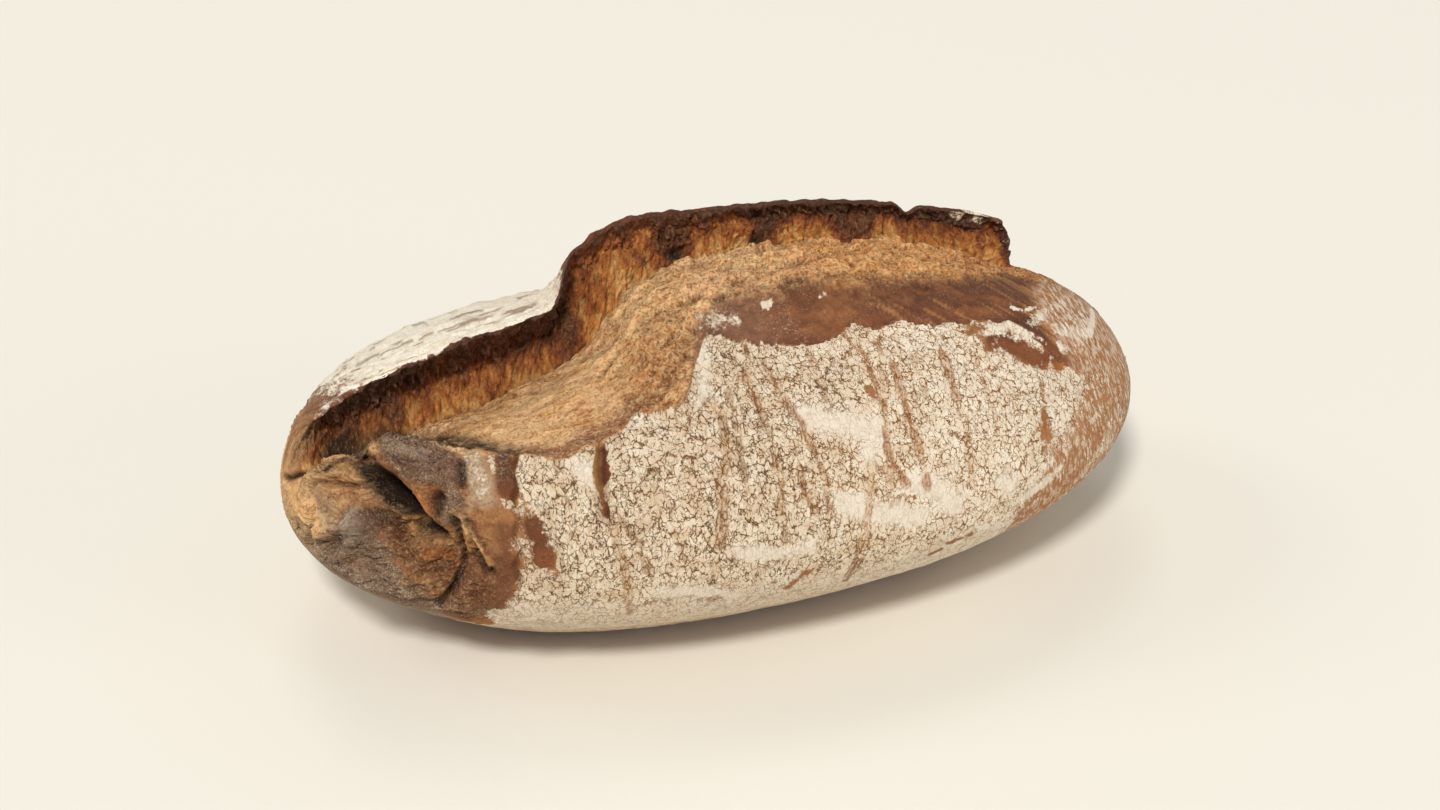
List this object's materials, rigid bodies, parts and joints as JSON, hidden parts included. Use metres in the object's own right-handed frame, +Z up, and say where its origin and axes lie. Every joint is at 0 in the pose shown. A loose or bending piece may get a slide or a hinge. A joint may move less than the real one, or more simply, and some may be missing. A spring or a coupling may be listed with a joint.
{
  "type": "sourdough loaf",
  "caption": "Whole oval sourdough loaf with a floured, crackled front flank, one long slash with bloomed dough and a raised torn ear, folds at its left end and a flat foot.",
  "frame": {"origin": "centre of the loaf's bounding box in plan, on the flat foot", "axes": "+X along the loaf towards the end where the ear ends free, -Y out of the floured front flank, +Z up"},
  "size_m": [0.296, 0.1514, 0.1223],
  "materials": {
    "crust": "matt baked crust, dusted with flour"
  },
  "bodies": {
    "root": {"loaf": "crust"}
  },
  "joints": []
}
